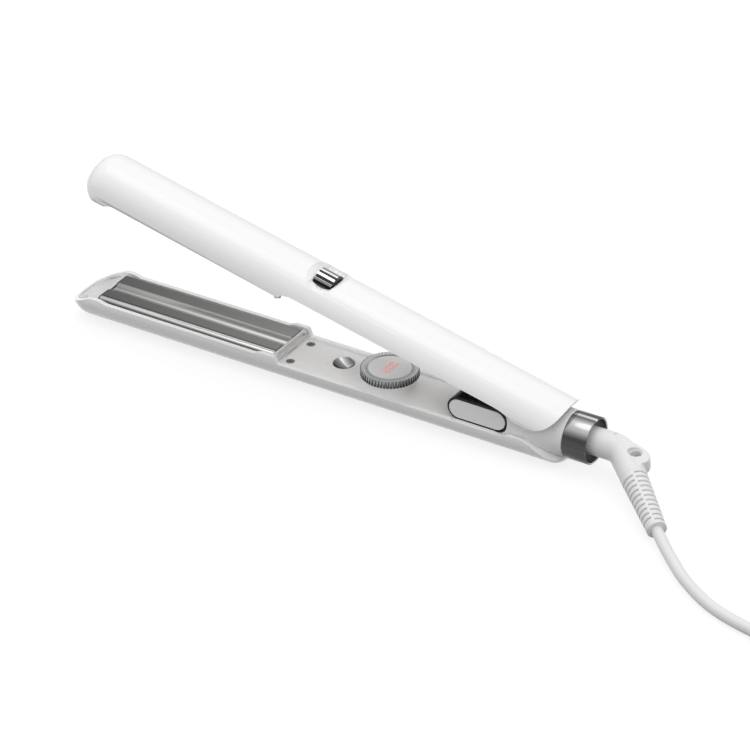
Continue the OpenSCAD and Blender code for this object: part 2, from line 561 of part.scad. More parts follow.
// Least gap of the coil to itself, between points half a turn or more apart
coil_gap = min([for (i = [0:coil_n - coil_steps/2], j = [i + coil_steps/2:coil_n])
    norm(coil_at(i/coil_steps) - coil_at(j/coil_steps))]) - cord_d;
echo(coil_gap = coil_gap);  // cord_coil
module cord_tie() color("black") translate([coil_c[0] + (coil_in + coil_out)/2, coil_c[1], 0])
    difference() {
        translate([-(coil_out - coil_in)/2 - 5, -3, 0]) cube([coil_out - coil_in + 10, 6, 2*layer + 1.6]);
        translate([-(coil_out - coil_in)/2 - 4, -4, 0.6]) cube([coil_out - coil_in + 8, 8, 2*layer + 0.2]);
    }
module plug_body() color("white") translate(plug_at) {
    rotate([0, 90, 0]) cylinder(h = 26, r1 = 4.6, r2 = 3.4);
    intersection() {
        translate([-30, -18, -7]) cube([34, 36, 14]);
        translate([-8, 0, -7]) cylinder(h = 14, r = 24);
    }
}
module plug_pins() color("silver") translate(plug_at) for (y = [-9.5, 9.5])
    translate([-30 - 19, y, 0]) rotate([0, 90, 0]) cylinder(h = 19, r = 2);

lower_shell();
lower_deck();
lower_holder();
lower_plate();
lower_heater();
lower_cushions();
deck_screws();
main_board();
button_switch();
power_button();
dial_hub();
display_disc();
display_digits();
dial_ring();
hinge_stop();
stop_caps();
neck();
hinge_pin();
end_ring();
swivel_bush();
contact_pin();
upper_shell();
upper_cover();
upper_holder();
upper_plate();
upper_heater();
upper_cushions();
hinge_ears();
wheel_axle();
thumbwheel();
swivel_boot();
cord_sleeve();
cord_run();
cord_coil();
cord_tie();
cord_tail();
plug_body();
plug_pins();
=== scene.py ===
import bpy
import bmesh
import json
import math
from mathutils import Matrix, Vector


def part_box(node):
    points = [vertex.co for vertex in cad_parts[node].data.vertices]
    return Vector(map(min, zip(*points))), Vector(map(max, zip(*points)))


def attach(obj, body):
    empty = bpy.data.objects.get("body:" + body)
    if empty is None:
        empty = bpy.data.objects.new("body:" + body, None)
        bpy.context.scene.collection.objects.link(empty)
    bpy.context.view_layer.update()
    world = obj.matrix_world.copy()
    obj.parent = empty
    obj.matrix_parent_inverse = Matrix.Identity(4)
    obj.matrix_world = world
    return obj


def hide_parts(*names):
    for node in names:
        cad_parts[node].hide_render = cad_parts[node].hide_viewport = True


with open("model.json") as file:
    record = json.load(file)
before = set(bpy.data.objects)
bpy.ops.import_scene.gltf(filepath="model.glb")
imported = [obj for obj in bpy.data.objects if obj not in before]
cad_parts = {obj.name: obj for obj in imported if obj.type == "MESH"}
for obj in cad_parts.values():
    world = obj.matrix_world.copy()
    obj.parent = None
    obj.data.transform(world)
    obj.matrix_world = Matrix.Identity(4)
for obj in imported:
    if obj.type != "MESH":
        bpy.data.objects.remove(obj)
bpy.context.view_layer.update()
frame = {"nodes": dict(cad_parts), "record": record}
nodes = frame["nodes"]
print("frame loaded:", len(nodes), "nodes")


# one wrapped socket per value, so that shader maths reads as an expression
class Socket:
    def __init__(self, tree, out):
        self.tree, self.out = tree, out

    def math(self, operation, other=None, third=None, clamp=False):
        node = self.tree.nodes.new("ShaderNodeMath")
        node.operation, node.use_clamp = operation, clamp
        for slotIndex, value in enumerate((self, other, third)):
            if isinstance(value, Socket):
                self.tree.links.new(value.out, node.inputs[slotIndex])
            elif value is not None:
                node.inputs[slotIndex].default_value = value
        return Socket(self.tree, node.outputs[0])

    def __add__(self, other): return self.math("ADD", other)
    def __radd__(self, other): return self.math("ADD", other)
    def __sub__(self, other): return self.math("SUBTRACT", other)
    def __rsub__(self, other): return self.math("MULTIPLY_ADD", -1.0, other)
    def __mul__(self, other): return self.math("MULTIPLY", other)
    def __rmul__(self, other): return self.math("MULTIPLY", other)
    def __gt__(self, other): return self.math("GREATER_THAN", other)
    def __lt__(self, other): return self.math("LESS_THAN", other)
    def clamped(self): return self.math("ADD", 0.0, clamp=True)


class Finish:
    def __init__(self, name):
        self.material = bpy.data.materials.new(name)
        self.material.use_nodes = True
        self.tree = self.material.node_tree
        self.surface = self.tree.nodes["Principled BSDF"]

    # any node: its type, its settings, then the values or links of its sockets
    def node(self, kind, settings=None, output=0, **sockets):
        made = self.tree.nodes.new("ShaderNode" + kind)
        for key, value in (settings or {}).items():
            if key == "stops":
                while len(made.color_ramp.elements) < len(value):
                    made.color_ramp.elements.new(0.5)
                for element, (place, colour) in zip(made.color_ramp.elements, value):
                    element.position, element.color = place, colour
            else:
                setattr(made, key, value)
        for key, value in sockets.items():
            target = made.inputs[int(key[1:]) if key[0] == "_" else key.replace("_", " ")]
            if isinstance(value, Socket):
                self.tree.links.new(value.out, target)
            else:
                target.default_value = value
        return Socket(self.tree, made.outputs[output])

    def set(self, **values):
        for key, value in values.items():
            target = self.surface.inputs[key.replace("_", " ")]
            if isinstance(value, Socket):
                self.tree.links.new(value.out, target)
            else:
                target.default_value = value

    # the place on the piece, in metres, stretched for a pattern's scale
    def place(self, scale=(1, 1, 1)):
        return self.node("Mapping", Vector=self.node("TexCoord", output=3), Scale=scale)

    def placeAlong(self, axis):
        return self.node("SeparateXYZ", output="XYZ".index(axis), Vector=self.place())

    def noise(self, scale, detail, stretch=(1, 1, 1)):
        return self.node("TexNoise", Vector=self.place(stretch), Scale=scale, Detail=detail)

    def mix(self, factor, low, high):
        return self.node("Mix", {"data_type": "RGBA"}, output=2, _0=factor, _6=low, _7=high)

    def multiply(self, low, high, factor=1.0):
        return self.node("Mix", {"data_type": "RGBA", "blend_type": "MULTIPLY"}, output=2,
                         _0=factor, _6=low, _7=high)

    def bump(self, height, strength, distance):
        return self.node("Bump", Height=height, Strength=strength, Distance=distance)


def grey(level, warm=0.0):
    return (level + warm, level, level - warm, 1.0)


print("stage: camera and stage")
cameraSettings = {
    "place": (0.834474, -1.313132, 0.951569),
    "turn": (58.654903, 0.061164, 31.574144),
    "lens": 186.798, "sensor": 36, "farEnd": 20,
}
camera = bpy.data.objects.new("camera", bpy.data.cameras.new("camera"))
bpy.context.scene.collection.objects.link(camera)
camera.location = cameraSettings["place"]
camera.rotation_euler = [math.radians(a) for a in cameraSettings["turn"]]
camera.data.lens = cameraSettings["lens"]
camera.data.sensor_width = cameraSettings["sensor"]
camera.data.clip_end = cameraSettings["farEnd"]
bpy.context.scene.camera = camera

print("stage: cord")
cordSettings = {
    "diameter": 0.0054,
    "route": [(0.207, -0.0495, 0.0037), (0.222, -0.0625, 0.0029), (0.241, -0.074, 0.0028),
              (0.264, -0.0805, 0.0028), (0.290, -0.083, 0.003)],
    "coilCentre": (0.352, -0.0418, 0.0008), "coilIn": 0.020, "coilOut": 0.0414, "dip": 0.0006,
    "coilTurns": 3.5, "layer": 0.0062, "lie": 0.0028,
    "bendRoll": 14, "bendTurn": 45, "bendRadius": 0.012, "bendOut": 0.015,
    "bendStart": (0.151, 0.0, 0.0147), "sleeve": 0.034, "plugAt": (0.290, 0.002, 0.007),
    "runLead": 0.005, "tailLead": 0.012, "tailDrop": 0.0006, "plugGuard": 0.034, "plugFace": 0.026,
    "runSteps": 9, "turnSteps": 24, "tailSteps": 8, "roundness": 6,
}
c = cordSettings


# from 0 to 1 with level ends
def ease(t):
    return t * t * (3 - 2 * t)


# a smooth line through the points, with so many steps between two of them
def spline(points, steps):
    out = []
    for i in range(len(points) - 1):
        a, b = points[max(i - 1, 0)], points[i]
        c, d = points[i + 1], points[min(i + 2, len(points) - 1)]
        for k in range(steps):
            t = k / steps
            out.append(0.5 * ((2 * b) + (c - a) * t + (2 * a - 5 * b + 4 * c - d) * t * t
                              + (3 * b - a - 3 * c + d) * t ** 3))
    return out + [points[-1]]


# the coil winds in on the lower layer, climbs in half a turn and winds out again on top
def coilPoint(s):
    turns, rIn, rOut = c["coilTurns"], c["coilIn"], c["coilOut"]
    angle = math.radians(-90 + s * 360)
    if s < turns:
        r = rOut - (rOut - rIn) * s / turns
    elif s < turns + 0.5:
        r = rIn - c["dip"] * math.sin(2 * math.pi * (s - turns))
    else:
        r = rIn + (rOut - rIn) * (s - turns - 0.5) / turns
    rise = c["layer"] * ease(min(max((s - turns) / 0.5, 0), 1))
    return Vector(c["coilCentre"]) + Vector((r * math.cos(angle), r * math.sin(angle), c["lie"] + rise))


turn, roll = math.radians(c["bendTurn"]), math.radians(c["bendRoll"])
bendWay = Vector((math.cos(turn), -math.sin(turn) * math.cos(roll), -math.sin(turn) * math.sin(roll)))
bendSide = Vector((0, -math.cos(roll), -math.sin(roll)))
sleeveEnd = (Vector(c["bendStart"]) + c["bendRadius"] * math.sin(turn) * Vector((1, 0, 0))
             + c["bendRadius"] * (1 - math.cos(turn)) * bendSide + (c["bendOut"] + c["sleeve"]) * bendWay)
allTurns = 2 * c["coilTurns"] + 0.5
coilLine = [coilPoint(i / c["turnSteps"]) for i in range(int(allTurns * c["turnSteps"]) + 1)]
coilLine = [coilLine[0] - Vector((c["diameter"], 0, 0))] + coilLine
lastWay = (coilPoint(allTurns) - coilPoint(allTurns - 0.01)).normalized()
coilLine.append(coilLine[-1] + c["diameter"] * lastWay)
runLine = spline([sleeveEnd, sleeveEnd + c["runLead"] * bendWay] + [Vector(p) for p in c["route"]]
                 + [coilLine[0]], c["runSteps"])
tailWay = (coilLine[-1] - coilLine[-2]).normalized()
plug = Vector(c["plugAt"])
tailLine = spline([coilLine[-1], coilLine[-1] + c["tailLead"] * tailWay + Vector((0, 0, -c["tailDrop"])),
                   plug + Vector((c["plugGuard"], 0, 0)), plug + Vector((c["plugFace"], 0, 0))],
                  c["tailSteps"])
cordLine = runLine + coilLine[1:] + tailLine[1:]
cordLength = sum((b - a).length for a, b in zip(cordLine, cordLine[1:]))
curve = bpy.data.curves.new("cord", "CURVE")
curve.dimensions = "3D"
track = curve.splines.new("POLY")
track.points.add(len(cordLine) - 1)
for point, place in zip(track.points, cordLine):
    point.co, point.radius = (*place, 1), c["diameter"] / 2
curve.bevel_depth = 1.0  # the points carry the radius, which keeps the curve's box tight
curve.bevel_resolution = c["roundness"]
curve.use_fill_caps = True
cord = bpy.data.objects.new("cord", curve)
bpy.context.scene.collection.objects.link(cord)
print("cord length", round(cordLength, 4))
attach(cord, "cord_end")
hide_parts("cord_run", "cord_coil", "cord_tail")

print("stage: finishes")


# moulded plastic: a faint cloud in the tone, uneven gloss and a fine skin
def moulded(name, level, warm=0.0, rough=0.3, coat=0.0, skin=0.06, skinScale=3800.0, cloud=0.025):
    f = Finish(name)
    drift = f.noise(38.0, 2.0)
    fine = f.noise(skinScale, 1.0)
    wipe = f.noise(95.0, 3.0, (1, 3.2, 3.2))
    tone = f.mix(drift, grey(level * (1 - cloud), warm), grey(min(level * (1 + cloud), 1.0), warm))
    f.set(Base_Color=tone, Roughness=(wipe - 0.5) * 0.14 + (fine - 0.5) * 0.05 + rough, Coat_Weight=coat,
          Normal=f.bump(fine, skin, 0.00004))
    if coat:
        f.set(Coat_Roughness=0.06)
    return f


# metal drawn along X, with fine streaks in tone, gloss and bump
def drawn(name, level, rough=0.3, streak=0.25, warm=0.0):
    f = Finish(name)
    long = f.noise(1.0, 3.0, (9, 1900, 1900))
    short = f.noise(1.0, 1.0, (420, 5200, 5200))
    mark = (long - 0.5) * 0.7 + (short - 0.5) * 0.3 + 0.5
    tone = f.mix(mark, grey(level * (1 - streak), warm), grey(level * (1 + streak), warm))
    f.set(Base_Color=tone, Metallic=1.0, Roughness=(mark - 0.5) * 0.18 + rough,
          Normal=f.bump(mark, 0.12, 0.00005))
    return f


# a ramp over a value, for tones that follow a place on the piece
def ramp(f, value, stops):
    return f.node("ValToRGB", {"stops": [(place, grey(level)) for place, level in stops]}, Fac=value)


plateSettings = {"front": -0.1215, "back": -0.022, "halfWidth": 0.0125, "top": 0.01565, "bottom": 0.0117,
                 "edgeRound": 0.0016, "grooveWidth": 0.0074, "grooveDepth": 0.0014,
                 "heaterWidth": 0.012, "heaterHeight": 0.002, "overrun": 0.02,
                 "toneFrom": -0.122, "toneLength": 0.1, "toneFront": 0.60, "toneBack": 1.26,
                 "frontGapShadow": 0.0006, "edgeSoft": 0.00022}
# across the plate, painted highlights and painted reflections: bright edge, dark line, land, groove with one
# bright streak, land
plateReflectionBands = [(0.0, 0.3), (0.02, 0.95), (0.07, 0.95), (0.09, 0.06), (0.12, 0.06), (0.135, 0.18),
              (0.36, 0.18), (0.39, 0.5), (0.46, 0.5), (0.51, 0.95), (0.56, 0.45), (0.64, 0.6),
              (0.67, 0.18), (0.95, 0.18), (1.0, 0.1)]


def plateFinish(name):
    f = Finish(name)
    q = plateSettings
    x, y = f.placeAlong("X"), f.placeAlong("Y")
    long = f.noise(1.0, 3.0, (7, 2600, 2600))
    cross = f.noise(1.0, 2.0, (3400, 60, 60))
    along = ((x - q["toneFrom"]) * (1 / q["toneLength"])).clamped()
    # painted highlights and reflections in bands across the plate
    paintedReflection = ramp(f, y * (0.5 / q["halfWidth"]) + 0.5, plateReflectionBands)
    mark = (long - 0.5) * 0.55 + (cross - 0.5) * 0.45 + 0.5
    shade = f.multiply(paintedReflection, f.mix(mark, grey(0.84), (1.0, 0.995, 0.97, 1.0)))
    # the plate darker towards the front, lighter and a little warmer towards the back
    lift = f.multiply(shade, f.mix(along, grey(q["toneFront"]), grey(q["toneBack"])))
    tone = f.mix(along * 0.16, lift, (0.40, 0.39, 0.36, 1.0))
    # a thin strip of painted shadow, standing for the gap at the plate's front end
    tone = f.mix(x > q["front"] + q["frontGapShadow"], grey(0.015), tone)
    f.set(Base_Color=tone, Metallic=0.85, Roughness=(mark - 0.5) * 0.2 + 0.34,
          Normal=f.bump(mark, 0.10, 0.00004))
    return f


# from 0 to 1 round the piece, about an axis that lies along X
def angleAbout(f, axisHeight):
    y, z = f.placeAlong("Y"), f.placeAlong("Z")
    return (z - axisHeight).math("ARCTAN2", y) * (0.5 / math.pi) + 0.5


ringSettings = {
    "axisHeight": 0.0147, "waver": 0.006, "metalRise": 6.0, "metalFrom": 0.25, "specular": 0.25,
    "bands": [(0.0, 0.10), (0.10, 0.06), (0.22, 0.55), (0.35, 0.10), (0.55, 0.55), (0.69, 0.05),
              (0.73, 0.05), (0.75, 0.95), (0.77, 0.10), (0.82, 0.50), (0.88, 0.40), (0.93, 0.06),
              (0.97, 0.08)],
}
# painted reflections: bands of light and dark round the ring; its darkest ones are less metallic
chromeRing = Finish("chromeRing")
ringAngle = angleAbout(chromeRing, ringSettings["axisHeight"])
ringLines = chromeRing.noise(1.0, 2.0, (30, 2600, 2600))
ringReflection = ramp(chromeRing, ringAngle + (ringLines - 0.5) * ringSettings["waver"], ringSettings["bands"])
ringMetal = (ringReflection * ringSettings["metalRise"] - ringSettings["metalFrom"]).clamped()
chromeRing.surface.inputs["Specular IOR Level"].default_value = ringSettings["specular"]
chromeRing.set(Base_Color=ringReflection, Metallic=ringMetal, Roughness=(ringLines - 0.5) * 0.1 + 0.16)

# satin metal turned about the dial's axis; on its side, painted highlights on the ridges, painted shade in the
# grooves and a painted shadow towards its foot
dialSettings = {"centre": (0.0344, 0.0), "turnPitch": 5200.0, "grooveRadius": 0.0135, "ridgeRise": 2600.0,
                "sideFrom": 0.01351, "sideFoot": 0.0159, "sideRise": 300.0, "displayRim": 0.0101}


def fromDialAxis(f):
    x = f.placeAlong("X") - dialSettings["centre"][0]
    y = f.placeAlong("Y") - dialSettings["centre"][1]
    return (x * x + y * y).math("SQRT")


dialMetal = Finish("dialMetal")
dialRadius = fromDialAxis(dialMetal)
turned = (dialRadius * dialSettings["turnPitch"]).math("SINE") * 0.5 + 0.5
dialCloud = dialMetal.noise(420.0, 3.0)
# painted highlights on the ridges and painted shade in the grooves
knurlLightAndShade = ramp(dialMetal, (dialRadius - dialSettings["grooveRadius"]) * dialSettings["ridgeRise"],
             [(0.0, 0.02), (0.5, 0.10), (0.85, 1.0)])
# painted shadow: the side goes dark towards its foot
dialFootShadow = (dialMetal.placeAlong("Z") - dialSettings["sideFoot"]) * dialSettings["sideRise"]
dialTone = dialMetal.multiply(dialMetal.mix(turned * 0.4 + dialCloud * 0.6, grey(0.42), grey(0.64)),
                              dialMetal.mix(dialFootShadow.clamped(), grey(0.0), knurlLightAndShade),
                              dialRadius > dialSettings["sideFrom"])
dialMetal.set(Base_Color=dialTone, Metallic=0.9, Roughness=(dialCloud - 0.5) * 0.16 + 0.36,
              Normal=dialMetal.bump(turned, 0.12, 0.00003))

# clear lens over a pale disc, with a faint printed rim
displayGrey = Finish("displayGrey")
lens = displayGrey.noise(60.0, 2.0)
displayTone = displayGrey.mix(fromDialAxis(displayGrey) > dialSettings["displayRim"],
                              displayGrey.mix(lens, grey(0.82), grey(0.90)), grey(0.55))
displayGrey.set(Base_Color=displayTone, Roughness=(lens - 0.5) * 0.1 + 0.22, Coat_Weight=0.4)

# concave chrome with painted reflections: painted shade on the side away from the light and a bright painted
# highlight across the middle
buttonSettings = {
    "centre": (0.0093, 0.0), "reach": 0.005, "sweepWay": (0.55, 0.83),
    "bands": [(0.0, 0.05), (0.22, 0.16), (0.40, 0.30), (0.50, 0.95), (0.60, 0.55), (0.75, 0.28),
              (0.90, 0.12), (1.0, 0.4)],
}
chromeButton = Finish("chromeButton")
buttonX = (chromeButton.placeAlong("X") - buttonSettings["centre"][0]) * buttonSettings["sweepWay"][0]
buttonY = chromeButton.placeAlong("Y") * buttonSettings["sweepWay"][1]
swirl = chromeButton.noise(260.0, 2.0)
sweep = (buttonX + buttonY) * (0.5 / buttonSettings["reach"]) + 0.5 + (swirl - 0.5) * 0.08
buttonLightAndShade = ramp(chromeButton, sweep, buttonSettings["bands"])
chromeButton.set(Base_Color=buttonLightAndShade, Metallic=1.0, Roughness=(swirl - 0.5) * 0.08 + 0.14)

# fluted wheel: painted highlights on the ribs and painted shade in the flutes, by the distance from its tilted
# axis, and painted shade on its near side
wheelSettings = {"axis": (0.000306, 0.053378), "tilt": 12.9, "fluteBottom": 0.00578, "ribTop": 0.00648,
                 "sideLean": 0.45, "sideRise": 70.0}
wheelDark = Finish("wheelDark")
wheelTilt = math.radians(wheelSettings["tilt"])
wheelX, wheelY, wheelZ = [wheelDark.placeAlong(axis) for axis in "XYZ"]
wheelUp = ((wheelX - wheelSettings["axis"][0]) * math.sin(wheelTilt)
           + (wheelZ - wheelSettings["axis"][1]) * math.cos(wheelTilt))
wheelOut = (wheelUp * wheelUp + wheelY * wheelY).math("SQRT")
ribHeight = wheelSettings["ribTop"] - wheelSettings["fluteBottom"]
ribLightAndShade = ramp(wheelDark, (wheelOut - wheelSettings["fluteBottom"]) * (1 / ribHeight),
               [(0.0, 0.035), (0.45, 0.10), (0.8, 0.55), (0.95, 0.95)])
wheelGrain = wheelDark.noise(900.0, 2.0)
wheelSideShade = ramp(wheelDark, (wheelUp * wheelSettings["sideLean"] + wheelY) * wheelSettings["sideRise"] + 0.5,
                 [(0.0, 0.12), (0.28, 0.25), (0.42, 1.0), (1.0, 0.8)])
wheelDark.set(Base_Color=wheelDark.multiply(ribLightAndShade, wheelSideShade), Metallic=0.9,
              Roughness=(wheelGrain - 0.5) * 0.12 + 0.2)

finishes = {
    "shell": moulded("shellWhite", 0.90, warm=0.002, rough=0.2, coat=0.6, skin=0.02, skinScale=900.0,
                     cloud=0.008),
    "deck": moulded("deckWhite", 0.88, warm=0.008, rough=0.42, skin=0.10),
    "holder": moulded("holderGrey", 0.70, warm=0.006, rough=0.38, coat=0.1, skin=0.08),
    "plateLower": plateFinish("plateMetalLower"),
    "plateUpper": plateFinish("plateMetalUpper"),
    "ring": chromeRing, "button": chromeButton, "dial": dialMetal, "display": displayGrey,
    "black": moulded("glossBlack", 0.012, rough=0.24, skin=0.02, skinScale=900.0, cloud=0.2),
    "cap": moulded("capGrey", 0.80, coat=0.2, skin=0.05),
    "neck": moulded("neckGrey", 0.80, rough=0.34, coat=0.1),
    "cord": moulded("cordWhite", 0.78, warm=0.002, rough=0.36, coat=0.1, skin=0.08, skinScale=2600.0),
    "wheel": wheelDark,
    "brass": drawn("brassPin", 0.5, rough=0.25, streak=0.1, warm=0.1),
    "board": moulded("boardGreen", 0.05, rough=0.5),
    "ceramic": moulded("ceramicCream", 0.62, warm=0.05, rough=0.7, skin=0.2),
    "silicone": moulded("siliconeGrey", 0.55, rough=0.6, skin=0.2),
    "steel": drawn("steelBright", 0.45, rough=0.26, streak=0.15),
    "screw": drawn("screwGrey", 0.20, streak=0.3),
    "figures": moulded("figuresRed", 0.3, rough=0.4),
    "socket": moulded("socketBlack", 0.03, rough=0.4, skin=0.1),
}
# figures in pale red, a little uneven as lit segments are
figureSettings = {"dim": (0.86, 0.22, 0.16, 1), "lit": (0.95, 0.34, 0.28, 1), "glow": (0.95, 0.22, 0.17, 1),
                  "glowStrength": 0.35}
figures = finishes["figures"]
figures.set(Base_Color=figures.mix(figures.noise(700.0, 1.0), figureSettings["dim"], figureSettings["lit"]),
            Emission_Color=figureSettings["glow"])
figures.surface.inputs["Emission Strength"].default_value = figureSettings["glowStrength"]
finishes["black"].surface.inputs["Specular IOR Level"].default_value = 0.2
boardSettings = {"dark": (0.008, 0.06, 0.025, 1), "light": (0.02, 0.12, 0.05, 1)}
board = finishes["board"]
board.set(Base_Color=board.mix(board.noise(900.0, 2.0), boardSettings["dark"], boardSettings["light"]))

wears = {
    "lower_shell": "shell", "upper_shell": "shell", "lower_deck": "deck", "upper_cover": "deck",
    "lower_holder": "holder", "upper_holder": "holder", "hinge_ears": "holder", "lower_plate": "plateLower",
    "upper_plate": "plateUpper", "power_button": "button", "end_ring": "ring", "dial_ring": "dial",
    "display_disc": "display", "display_digits": "figures", "hinge_stop": "black", "stop_caps": "cap",
    "neck": "neck", "swivel_boot": "cord", "cord_sleeve": "cord", "plug_body": "cord", "thumbwheel": "wheel",
    "contact_pin": "brass", "main_board": "board", "lower_heater": "ceramic", "upper_heater": "ceramic",
    "lower_cushions": "silicone", "upper_cushions": "silicone", "deck_screws": "screw", "hinge_pin": "steel",
    "wheel_axle": "steel", "plug_pins": "steel", "swivel_bush": "socket", "button_switch": "socket",
    "cord_tie": "black", "dial_hub": "deck",
}
for name, finish in wears.items():
    nodes[name].data.materials.clear()
    nodes[name].data.materials.append(finishes[finish].material)
cord.data.materials.append(finishes["cord"].material)

bodyOf = {name: body for body, names in frame["record"]["behaviour"]["bodies"].items() for name in names}


def pickOnly(*objects):
    bpy.ops.object.select_all(action="DESELECT")
    for o in objects:
        o.select_set(True)
    bpy.context.view_layer.objects.active = objects[0]


# a node's mesh as a piece of its own, with its loose triangles joined
def mergedCopy(name, newName, flatten=False):
    piece = nodes[name].copy()
    piece.data = nodes[name].data.copy()
    piece.name = newName
    bpy.context.scene.collection.objects.link(piece)
    pickOnly(piece)
    bpy.ops.object.mode_set(mode="EDIT")
    bpy.ops.mesh.select_all(action="SELECT")
    bpy.ops.mesh.remove_doubles(threshold=0.000002)
    if flatten:
        bpy.ops.mesh.dissolve_limited(angle_limit=math.radians(0.7))
    bpy.ops.object.mode_set(mode="OBJECT")
    return piece


# one modifier on the picked piece, set and applied
def shapeWith(piece, kind, **values):
    modifier = piece.modifiers.new("shaping", kind)
    for key, value in values.items():
        setattr(modifier, key, value)
    bpy.ops.object.modifier_apply(modifier=modifier.name)


def cutWith(piece, cutter):
    pickOnly(piece)
    shapeWith(piece, "BOOLEAN", operation="DIFFERENCE", solver="EXACT", object=cutter)
    bpy.data.objects.remove(cutter, do_unlink=True)


def standFor(piece, name):
    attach(piece, bodyOf[name])
    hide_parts(name)


print("stage: softened edges")
# moulded pieces keep their CAD form and get small rounded edges; 0.0 is smoothed alone
softSettings = {
    "lower_shell": 0.0004, "lower_deck": 0.0003, "end_ring": 0.0003, "hinge_stop": 0.00015,
    "stop_caps": 0.0002, "plug_body": 0.0014, "cord_tie": 0.0003, "neck": 0.00025, "lower_holder": 0.0,
    "plug_pins": 0.0005, "display_disc": 0.0002, "power_button": 0.0003, "display_digits": 0.0,
    "upper_shell": 0.0, "upper_holder": 0.0, "dial_ring": 0.0, "thumbwheel": 0.0,
}
# the middle and the scale of the pieces that are drawn a little smaller
smallerSettings = {"display_digits": ((0.0344, 0, 0), (0.8, 0.8, 1)),
                   "stop_caps": ((0.0884, 0, 0.0176), (0.972, 1, 0.925))}
for name, width in softSettings.items():
    piece = mergedCopy(name, name + "_soft", flatten=width > 0)
    if width:
        shapeWith(piece, "BEVEL", width=width, segments=3, angle_limit=math.radians(30))
    if name in smallerSettings:
        middle, scale = smallerSettings[name]
        piece.data.transform(Matrix.Translation(middle) @ Matrix.Diagonal((*scale, 1))
                             @ Matrix.Translation(-Vector(middle)))
    bpy.ops.object.shade_smooth_by_angle(angle=math.radians(38))
    if not width:
        shapeWith(piece, "WEIGHTED_NORMAL", keep_sharp=True)
    standFor(piece, name)

print("stage: cord boot")
bootSettings = {"voxel": 0.00032, "smooth": 5}
bootPiece = mergedCopy("swivel_boot", "swivel_boot_moulded")
shapeWith(bootPiece, "REMESH", mode="VOXEL", voxel_size=bootSettings["voxel"])
shapeWith(bootPiece, "SMOOTH", factor=0.5, iterations=bootSettings["smooth"])
bpy.ops.object.shade_smooth()
standFor(bootPiece, "swivel_boot")

# strain relief: a tapered tube with slots cut from its two sides in turn, split along the side facing up
sleeveSettings = {"length": 0.034, "startRadius": 0.0062, "endRadius": 0.0046, "wall": 0.0031, "slots": 21,
                  "slotWidth": 0.00105, "slotReach": 0.0077, "slotShift": 0.0003, "slotTrim": 0.0005,
                  "lead": 0.0012, "trail": 0.0016, "edgeRound": 0.00022, "facing": (0.47, -0.74, 0.53)}
b = sleeveSettings
upWay = Vector(b["facing"])
upWay = (upWay - upWay.dot(bendWay) * bendWay).normalized()
lay = Matrix((bendWay.cross(upWay), upWay, bendWay)).transposed().to_4x4()
lay.translation = sleeveEnd - b["length"] * bendWay
bpy.ops.object.select_all(action="DESELECT")
bpy.ops.mesh.primitive_cone_add(vertices=64, radius1=b["startRadius"], radius2=b["endRadius"],
                                depth=b["length"], location=(0, 0, b["length"] / 2))
sleevePiece = bpy.context.object
sleevePiece.name = "cord_sleeve_slotted"
bpy.ops.object.transform_apply(location=True)
slotCuts = []
for k in range(b["slots"]):
    height = b["lead"] + (k + 0.5) * (b["length"] - b["lead"] - b["trail"]) / b["slots"]
    middle = (b["slotShift"] + b["slotReach"] / 2) * (1 if k % 2 else -1)
    bpy.ops.mesh.primitive_cube_add(size=1, location=(middle, 0, height),
                                    scale=(b["slotReach"] - b["slotTrim"], 2 * b["slotReach"], b["slotWidth"]))
    slotCuts.append(bpy.context.object)
    bpy.ops.object.transform_apply(location=True, scale=True)
pickOnly(*slotCuts)
bpy.ops.object.join()
slotCutter = bpy.context.object
bpy.ops.mesh.primitive_cylinder_add(vertices=64, radius=b["wall"], depth=0.1, location=(0, 0, 0.02))
core = bpy.context.object
bpy.ops.object.transform_apply(location=True)
cutWith(slotCutter, core)
cutWith(sleevePiece, slotCutter)
shapeWith(sleevePiece, "BEVEL", width=b["edgeRound"], segments=2, angle_limit=math.radians(40))
bpy.ops.object.shade_smooth_by_angle(angle=math.radians(35))
sleevePiece.data.transform(lay)
sleevePiece.data.materials.append(finishes["cord"].material)
standFor(sleevePiece, "cord_sleeve")

print("stage: button seat")
# a low moulded rise of the deck around the button
seatSettings = {
    "centre": (0.0093, 0.0), "overScrews": 0.0001,
    "profile": [(0.0096, -0.0001), (0.0080, 0.0005), (0.0066, 0.0013), (0.0057, 0.0018),
                (0.00525, 0.0018), (0.00515, 0.0015), (0.00515, -0.0009)],  # radius, height over the deck
}
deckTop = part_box("deck_screws")[1].z + seatSettings["overScrews"]
seatX, seatY = seatSettings["centre"]
radius, height = seatSettings["profile"][0]
bpy.ops.object.select_all(action="DESELECT")
bpy.ops.mesh.primitive_circle_add(vertices=96, radius=radius, location=(seatX, seatY, deckTop + height))
seat = bpy.context.object
seat.name = "button_seat"
bpy.ops.object.transform_apply(location=True)
bpy.ops.object.mode_set(mode="EDIT")
bpy.ops.mesh.select_all(action="SELECT")
for newRadius, newHeight in seatSettings["profile"][1:]:
    bpy.ops.mesh.extrude_region_move(TRANSFORM_OT_translate={"value": (0, 0, newHeight - height)})
    bpy.ops.transform.resize(value=(newRadius / radius, newRadius / radius, 1),
                             center_override=(seatX, seatY, deckTop + newHeight))
    radius, height = newRadius, newHeight
bpy.ops.mesh.select_all(action="SELECT")
bpy.ops.mesh.region_to_loop()
bpy.ops.mesh.bridge_edge_loops()
bpy.ops.mesh.select_all(action="SELECT")
bpy.ops.mesh.normals_make_consistent(inside=False)
bpy.ops.object.mode_set(mode="OBJECT")
bpy.ops.object.shade_smooth_by_angle(angle=math.radians(40))
seat.data.materials.append(finishes["deck"].material)
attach(seat, "lower_arm")

print("stage: plates")
hingeSettings = {"place": (0.116, 0.0, 0.0237), "open": 12.9, "closedPlates": 0.0157}


